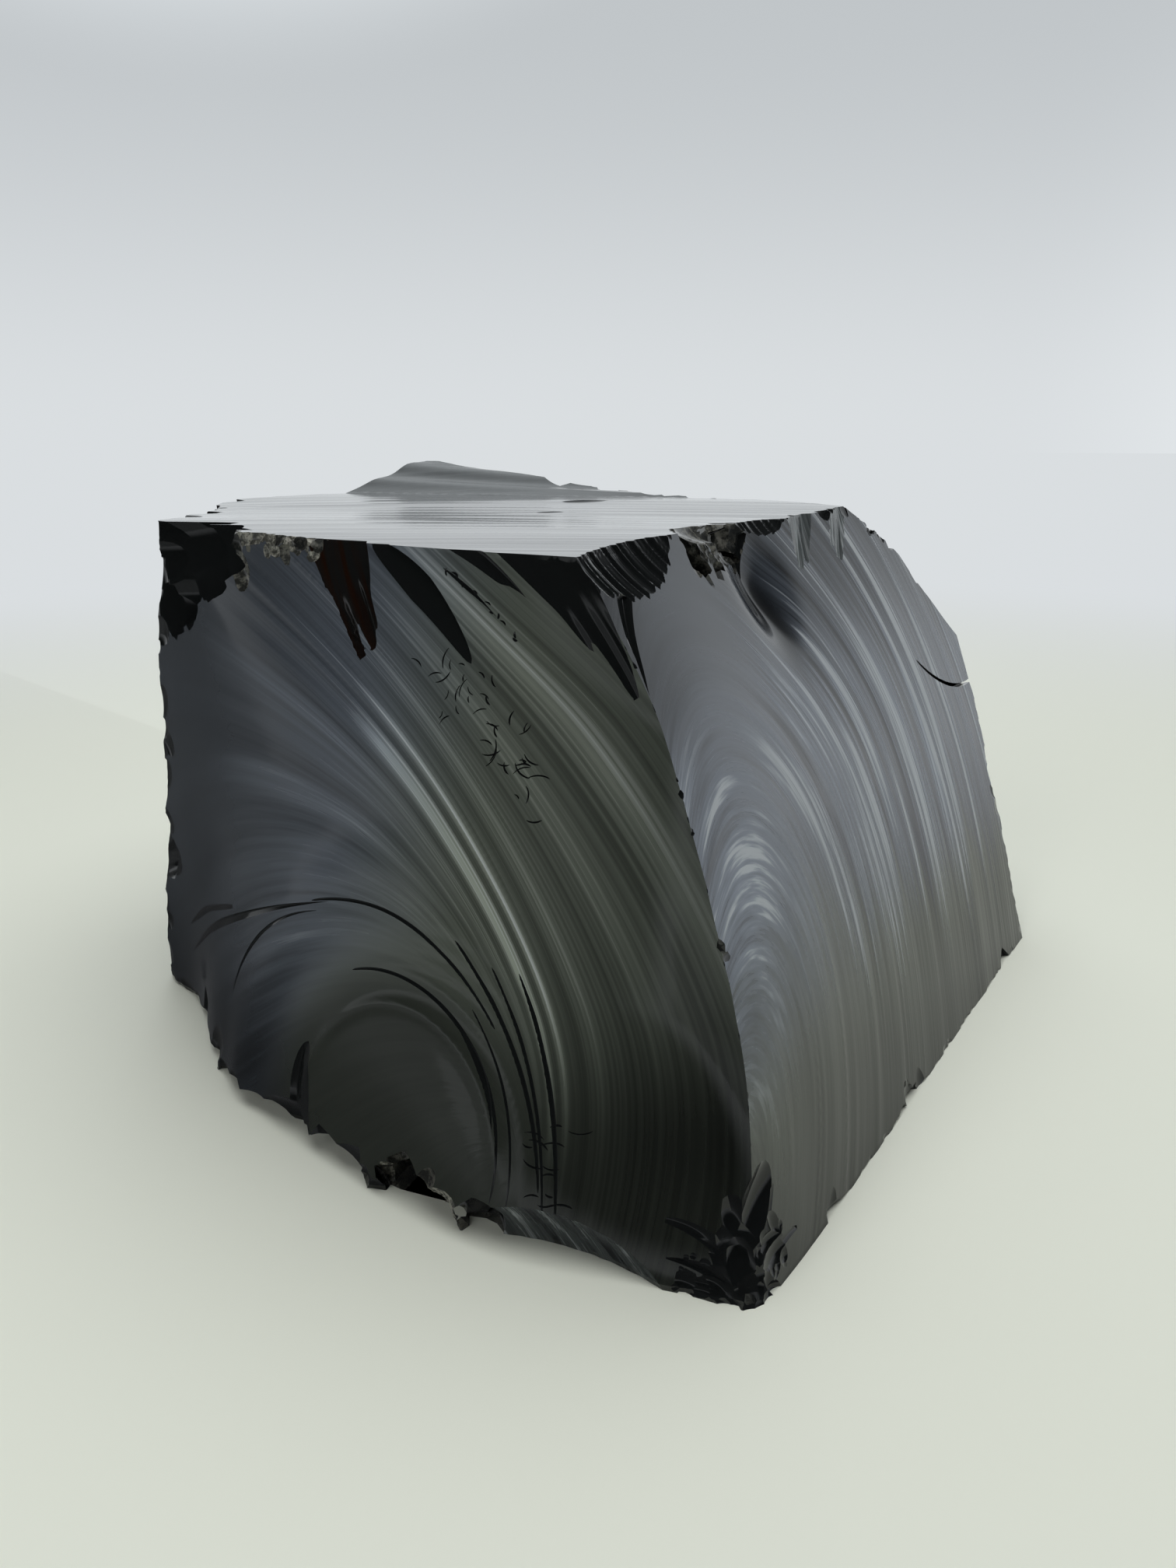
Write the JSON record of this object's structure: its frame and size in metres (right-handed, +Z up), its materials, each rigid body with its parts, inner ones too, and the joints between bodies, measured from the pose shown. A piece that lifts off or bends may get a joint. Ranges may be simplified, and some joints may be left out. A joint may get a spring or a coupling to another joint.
{
  "type": "obsidian chunk",
  "caption": "Blocky chunk of black volcanic glass with a level top, two broad shell-fractured front faces that meet in a leaning ridge, and a flat underside.",
  "frame": {"origin": "centre of the bounding box on the flat underside", "axes": "+Z up, the ridge and the lowest front corner face -Y, +X to the right as seen from the front"},
  "size_m": [0.139, 0.1398, 0.0765],
  "materials": {
    "obsidian": "opaque black volcanic glass: mirror-smooth to satin on silky shell-like fracture ripples, crushed and whitish where it was struck"
  },
  "bodies": {
    "root": {"obsidian_chunk": "obsidian"}
  },
  "joints": []
}
